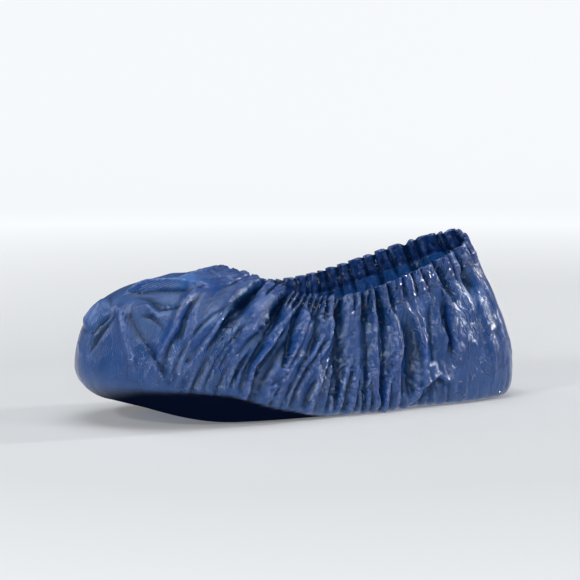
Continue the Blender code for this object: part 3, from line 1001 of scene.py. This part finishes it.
class Shading:
    """Short names for building one node material."""

    def __init__(self, name):
        self.material = bpy.data.materials.new(name)
        self.material.use_nodes = True
        self.nodes = self.material.node_tree.nodes
        self.links = self.material.node_tree.links
        self.shader = self.nodes["Principled BSDF"]
        self.output = self.nodes["Material Output"]

    def feed(self, socket, value):
        """Link a socket to an output, or set its number or colour."""
        if isinstance(value, bpy.types.NodeSocket):
            self.links.new(value, socket)
        else:
            socket.default_value = value

    def put(self, node, **inputs):
        """Set or link a node's inputs, underscores standing for spaces."""
        for name, value in inputs.items():
            self.feed(node.inputs[name.replace("_", " ")], value)
        return node

    def add(self, kind, **inputs):
        """A new node with its inputs set or linked."""
        return self.put(self.nodes.new(kind), **inputs)

    def operate(self, kind, operation, values):
        """A node that works on its inputs in order."""
        node = self.nodes.new(kind)
        node.operation = operation
        for socket, value in zip(node.inputs, values):
            self.feed(socket, value)
        return node

    def math(self, operation, *values):
        """A math node's result."""
        return self.operate("ShaderNodeMath", operation, values).outputs[0]

    def vector(self, operation, *values):
        """A vector math node's result, a number for a dot product or a length."""
        node = self.operate("ShaderNodeVectorMath", operation, values)
        return node.outputs["Value" if operation in ("DOT_PRODUCT", "LENGTH") else "Vector"]

    def spread(self, value, low, high, first, last):
        """The value moved from the range low to high onto first to last."""
        node = self.add("ShaderNodeMapRange", Value=value, From_Min=low, From_Max=high,
                        To_Min=first, To_Max=last)
        return node.outputs["Result"]

    def blend(self, share, first, last):
        """A colour between two, by the mix node's colour sockets."""
        node = self.nodes.new("ShaderNodeMix")
        node.data_type = "RGBA"
        for index, value in ((0, share), (6, first), (7, last)):
            self.feed(node.inputs[index], value)
        return node.outputs[2]

    def mix(self, share, first, last):
        """A shader between two."""
        node = self.nodes.new("ShaderNodeMixShader")
        for socket, value in zip(node.inputs, (share, first, last)):
            self.feed(socket, value)
        return node.outputs["Shader"]

    def noise(self, place, scale, detail, output="Fac"):
        """Noise over a place, as a number or as a colour."""
        return self.add("ShaderNodeTexNoise", Vector=place, Scale=scale, Detail=detail).outputs[output]

    def bump(self, height, depth, normal=None):
        """A bump of a height from 0 to 1 times depth in metres, over another."""
        node = self.add("ShaderNodeBump", Height=height, Distance=depth, Strength=1.0)
        if normal is not None:
            self.links.new(normal, node.inputs["Normal"])
        return node.outputs["Normal"]

    def attribute(self, name):
        """A number kept at each point of the mesh."""
        node = self.nodes.new("ShaderNodeAttribute")
        node.attribute_name = name
        return node.outputs["Fac"]

    def place(self):
        """Where the point is on the object, in metres."""
        return self.nodes.new("ShaderNodeTexCoord").outputs["Object"]


def flat_coordinates(shading, turn, scale_along, scale_up):
    """Metres on the flat film, turned by degrees and scaled."""
    flat = shading.nodes.new("ShaderNodeUVMap")
    flat.uv_map = "flat"
    mapping = shading.add("ShaderNodeMapping", Vector=flat.outputs["UV"])
    mapping.inputs["Rotation"].default_value = (0.0, 0.0, math.radians(turn))
    mapping.inputs["Scale"].default_value = (scale_along, scale_up, 1.0)
    return mapping.outputs["Vector"]


def emboss_height(shading):
    """The film's embossed diamonds, 0 to 1."""
    scale = TAU / EMBOSS_PITCH
    parts = shading.add("ShaderNodeSeparateXYZ", Vector=flat_coordinates(shading, 45.0, scale, scale))
    waves = [shading.math("SINE", parts.outputs[axis]) for axis in "XY"]
    return shading.math("MULTIPLY_ADD", shading.math("ADD", *waves), 0.25, 0.5)


def facet_height(shading, turn, up_share, scale):
    """Small flat facets, each tilted its own way, in the flat film's metres."""
    place = flat_coordinates(shading, turn, 1.0, up_share)
    warp = shading.noise(place, WARP_SCALE * scale, 2.0, "Color")
    place = shading.vector("MULTIPLY_ADD", warp, (WARP_REACH / scale, WARP_REACH / scale, 0.0), place)
    cells = shading.add("ShaderNodeTexVoronoi", Vector=place, Scale=scale, Randomness=1.0)
    off = shading.vector("SUBTRACT", place, cells.outputs["Position"])
    tilt = shading.vector("SUBTRACT", cells.outputs["Color"], (0.5, 0.5, 0.5))
    return shading.vector("DOT_PRODUCT", off, tilt)


def scribble_height(shading, turn, up_share, scale, width):
    """One layer of sparse fine creases in patches, 0 to 1."""
    place = flat_coordinates(shading, turn, 1.0, up_share)
    waves = shading.noise(place, scale, 1.0)
    off = shading.math("ABSOLUTE", shading.math("SUBTRACT", waves, 0.5))
    patches = shading.noise(place, PATCH_SCALE * scale, 1.0)
    return shading.math("MULTIPLY", shading.spread(off, 0.0, width, 1.0, 0.0),
                        shading.spread(patches, *PATCH_RANGE, 0.0, 1.0))


def film_normal(shading):
    """Facets, sparse creases and embossed diamonds, each over the ones before."""
    crumple = shading.attribute("crumple")
    normal = None
    for turn, up_share, scale, depth in FACET_LAYERS:
        height = facet_height(shading, turn, up_share, scale)
        normal = shading.bump(shading.math("MULTIPLY", height, crumple), depth, normal)
    creases = 0.0
    for row in SCRIBBLE_LAYERS:
        creases = shading.math("MAXIMUM", creases, scribble_height(shading, *row))
    normal = shading.bump(shading.math("MULTIPLY", creases, crumple), SCRIBBLE_DEPTH, normal)
    tight = shading.spread(crumple, CRUMPLE_SHARES[0], 1.0, TIGHT_EMBOSS, 1.0)
    return shading.bump(shading.math("MULTIPLY", emboss_height(shading), tight), EMBOSS_DEPTH, normal)


def film_colour(shading, cloud, painted_crease_shade):
    """Blue, brighter in spots of painted backlight, darker in the valleys by painted shade, and flecked with
    painted highlights on the ridges.
    """
    tone = shading.spread(cloud, *CLOUD_RANGE, 0.0, 1.0)
    low, high = (shading.blend(tone, *blues) for blues in (VALLEY_SHADE_BLUES, RIDGE_LIGHT_BLUES))
    # Painted shade: darker blues in the valleys, lighter on the ridges.
    colour = shading.blend(shading.attribute("lift"), low, high)
    # Painted backlight: a brighter blue in the spots where light would come through.
    clouded = shading.spread(cloud, *PAINTED_BACKLIGHT_RANGE, 0.5, 1.0)
    colour = shading.blend(shading.math("MULTIPLY", shading.attribute("painted_backlight"), clouded), colour, PAINTED_BACKLIGHT_BLUE)
    # Painted shade: a darker blue in the creases and deep valleys.
    colour = shading.blend(painted_crease_shade, colour, PAINTED_CREASE_SHADE_BLUE)
    # Painted highlights: pale flecks on the ridges.
    painted_glint = shading.spread(shading.noise(shading.place(), FLECK_SCALE, 3.0), *FLECK_RANGE, 0.0, PAINTED_HIGHLIGHT_SHARE)
    ridge = shading.spread(shading.attribute("relief"), *RIDGE_RANGE, 0.0, 1.0)
    return shading.blend(shading.math("MULTIPLY", ridge, painted_glint), colour, PAINTED_HIGHLIGHT_BLUE)


def film_material():
    """Embossed blue film that lets some light through, with painted shade in its creases and under the sole:
    darker colour and a dull dark diffuse mixed in.
    """
    shading = Shading("embossed_film")
    cloud = shading.noise(shading.place(), CLOUD_SCALE, 5.0)
    # Painted shade under the sole, from the mesh's shade numbers.
    painted_under_shade = shading.attribute("painted_sole_shade")
    # Painted shade in the creases, by relief, and deep in the valleys, by lift.
    crease_shade = shading.spread(shading.attribute("relief"), *CREASE_RANGE, PAINTED_CREASE_SHADE_SHARE, 0.0)
    deep_shade = shading.spread(shading.attribute("lift"), *DEEP_RANGE, PAINTED_DEEP_SHADE_SHARE, 0.0)
    painted_crease_shade = shading.math("MAXIMUM", crease_shade, deep_shade)
    colour = film_colour(shading, cloud, painted_crease_shade)
    normal = film_normal(shading)
    roughness = shading.spread(cloud, *CLOUD_RANGE, *FILM_ROUGHNESS)
    shading.put(
        shading.shader,
        # The base colour goes to a near-black painted shade under the sole.
        Base_Color=shading.blend(painted_under_shade, colour, PAINTED_UNDER_SHADE_BLUE),
        Roughness=shading.math("MULTIPLY_ADD", painted_under_shade, UNDER_ROUGHNESS, roughness),
        IOR=FILM_IOR,
        Specular_Tint=FILM_TINT,
        Normal=normal,
    )
    through = shading.add("ShaderNodeBsdfTranslucent", Normal=normal)
    # The light let through also goes dark under the sole, as painted shade.
    shading.put(through, Color=shading.blend(painted_under_shade, *THROUGH_BLUES))
    film = shading.mix(THROUGH_SHARE, shading.shader.outputs["BSDF"], through.outputs["BSDF"])
    # Painted shade: a dull, nearly black diffuse mixed in under the sole and in the creases.
    painted_shade_dull = shading.add("ShaderNodeBsdfDiffuse", Color=PAINTED_SHADE_DULL_BLUE)
    painted_shade_share = shading.math("MAXIMUM", painted_under_shade, shading.math("MULTIPLY", painted_crease_shade, PAINTED_CREASE_DULLING))
    shading.put(shading.output, Surface=shading.mix(painted_shade_share, film, painted_shade_dull.outputs["BSDF"]))
    return shading.material


def elastic_material():
    """White covered elastic."""
    shading = Shading("white_elastic")
    weave = shading.noise(shading.place(), WEAVE_SCALE, 2.0)
    shading.put(
        shading.shader,
        Base_Color=shading.blend(weave, *ELASTIC_GREYS),
        Roughness=0.75,
        Normal=shading.bump(weave, WEAVE_DEPTH),
    )
    return shading.material


# Stage, light and camera

CAMERA_AZIMUTH = 61.0
CAMERA_ELEVATION = 5.9
CAMERA_DISTANCE = 1.5
CAMERA_LENS = 139.7
CAMERA_AIM = (0.0, 0.0, 0.070)
FRAME_SHIFT = (-0.0181, 0.0198)


def placed(name, data, place, back):
    """A new object at a place, looking away from back."""
    item = linked(name, data)
    item.location = place
    item.rotation_mode = "QUATERNION"
    item.rotation_quaternion = (-back).to_track_quat("-Z", "Y")
    return item


def camera():
    """The photo's view: the left side, from a little towards the toe and above the floor."""
    data = bpy.data.cameras.new("camera")
    data.lens = CAMERA_LENS
    data.sensor_width = 36.0
    data.shift_x, data.shift_y = FRAME_SHIFT
    azimuth = math.radians(CAMERA_AZIMUTH)
    elevation = math.radians(CAMERA_ELEVATION)
    back = Vector((
        math.sin(azimuth) * math.cos(elevation),
        -math.cos(azimuth) * math.cos(elevation),
        math.sin(elevation),
    ))
    place = Vector(CAMERA_AIM) + back * CAMERA_DISTANCE
    bpy.context.scene.camera = placed("camera", data, place, back)


# The stage, in metres: the round floor, the sweep and the wall, which glow more further out
SWEEP_START = 2.2
SWEEP_RADIUS = 1.0
WALL_HEIGHT = 3.4
SWEEP_STEPS = 16
STAGE_SIDES = 96
STAGE_COLOUR = (0.40, 0.41, 0.425, 1.0)
FLOOR_GLOW = 0.15
WALL_GLOW = 0.82
GLOW_START = 0.3
GLOW_END = 1.8
GLOW_COLOUR = (0.96, 0.98, 1.0, 1.0)
SURROUND = 0.14

# Area lights: soft ones overhead, beside and at the floor, and small bright ones for glints.
# Each has a place and aim in metres, two sides, a power in watts and a spread in degrees.
COVER = (0.0, 0.0, 0.05)
LIGHT_COLUMNS = ("name", "place", "aim", "size", "power", "spread")
LIGHTS = (
    ("top", (0.0, 0.0, 1.7), COVER, (1.5, 1.5), 25.0, 180.0),
    ("key", (0.7, -1.5, 1.0), COVER, (0.22, 0.22), 13.0, 180.0),
    ("toe", (-0.70, -1.30, 0.50), COVER, (0.05, 0.16), 2.2, 180.0),
    ("side", (1.25, 0.95, 0.8), COVER, (0.04, 0.8), 5.5, 180.0),
    ("low", (1.35, -0.7, 0.30), (0.0, 0.0, 0.03), (0.04, 0.4), 6.0, 180.0),
    ("rim", (0.2, 1.7, 0.6), COVER, (0.06, 0.6), 2.4, 60.0),
    ("far", (-1.3, -0.6, 0.7), COVER, (0.50, 0.50), 4.0, 180.0),
    ("bounce", (0.0, 0.0, 0.0), (0.0, 0.0, 1.0), (2.4, 2.4), 12.5, 180.0),
)


def stage():
    """A round pale floor that sweeps up into a pale wall all round the cover."""
    angle = 0.5 * math.pi * np.arange(SWEEP_STEPS + 1) / SWEEP_STEPS
    out = np.append(np.sin(angle), 1.0)
    up = np.append(SWEEP_RADIUS * (1.0 - np.cos(angle)), WALL_HEIGHT)[:, None]
    radius = (SWEEP_START + SWEEP_RADIUS * out)[:, None]
    turn = -TAU * np.arange(STAGE_SIDES) / STAGE_SIDES
    points = np.stack(np.broadcast_arrays(radius * np.cos(turn), radius * np.sin(turn), up), -1)
    faces = [list(reversed(range(STAGE_SIDES)))] + grid_faces(*points.shape[:2]).tolist()
    floor = new_mesh("floor", points / MM, faces, points[..., :2])
    shading = Shading("pale_floor")
    distance = shading.vector("LENGTH", shading.place())
    glow = shading.spread(distance, GLOW_START, GLOW_END, FLOOR_GLOW, WALL_GLOW)
    shading.put(shading.shader, Base_Color=STAGE_COLOUR, Roughness=1.0, Specular_IOR_Level=0.0,
                Emission_Color=GLOW_COLOUR, Emission_Strength=glow)
    floor.data.materials.append(shading.material)
    for use in ("glossy", "diffuse", "transmission", "shadow"):
        setattr(floor, f"visible_{use}", False)
    world = bpy.context.scene.world or bpy.data.worlds.new("world")
    bpy.context.scene.world = world
    world.use_nodes = True
    surround = world.node_tree.nodes["Background"]
    surround.inputs["Color"].default_value = GLOW_COLOUR
    surround.inputs["Strength"].default_value = SURROUND


def area_light(name, place, aim, size, power, spread):
    """A soft box at a place, turned to a point."""
    data = bpy.data.lights.new(name, "AREA")
    data.shape = "RECTANGLE"
    data.size, data.size_y = size
    data.energy = power
    data.spread = math.radians(spread)
    item = placed(name, data, place, Vector(place) - Vector(aim))
    item.visible_camera = False


def main():
    """Camera, stage and lights, then the pieces, their materials and what they stand for."""
    camera()
    stage()
    for row in LIGHTS:
        area_light(**dict(zip(LIGHT_COLUMNS, row)))
    bpy.context.scene.view_settings.view_transform = "Standard"
    film, height, away = folded_film()
    lifts = lift(height)
    reliefs = relief(height)
    bag = film_bag(film, lifts, reliefs)
    hem = hem_band(film, away, lifts, reliefs)
    elastic = elastic_strip(film, away)
    blue_film = film_material()
    bag.data.materials.append(blue_film)
    hem.data.materials.append(blue_film)
    elastic.data.materials.append(elastic_material())
    for piece in (bag, hem, elastic):
        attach(piece, "root")
    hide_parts("film_body")
    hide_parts("hem_casing")
    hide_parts("elastic_band")


main()
